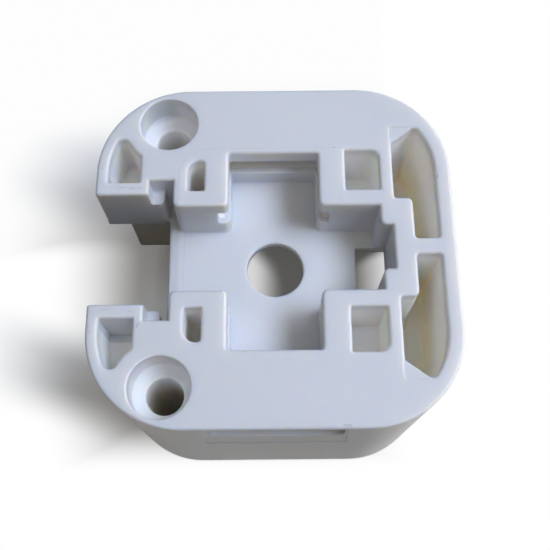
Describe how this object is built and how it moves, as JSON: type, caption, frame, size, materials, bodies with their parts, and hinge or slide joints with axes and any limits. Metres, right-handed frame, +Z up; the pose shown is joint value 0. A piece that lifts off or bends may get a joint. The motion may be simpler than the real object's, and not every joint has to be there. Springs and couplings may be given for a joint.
{
  "type": "motor housing holder",
  "caption": "Moulded plastic block that seats a motor housing in a cross-shaped recess, with a forked mouth, a side slot, recessed screw holes and deep relief wells.",
  "frame": {"origin": "middle of the foot, on the face that the block rests on", "axes": "+Z up, out of the seat; -X out of the mouth; Y across, from one screw hole to the other"},
  "size_m": [0.0624, 0.062, 0.043],
  "materials": {
    "body": "fine matt, as moulded"
  },
  "bodies": {
    "root": {"holder_body": "body"}
  },
  "joints": []
}
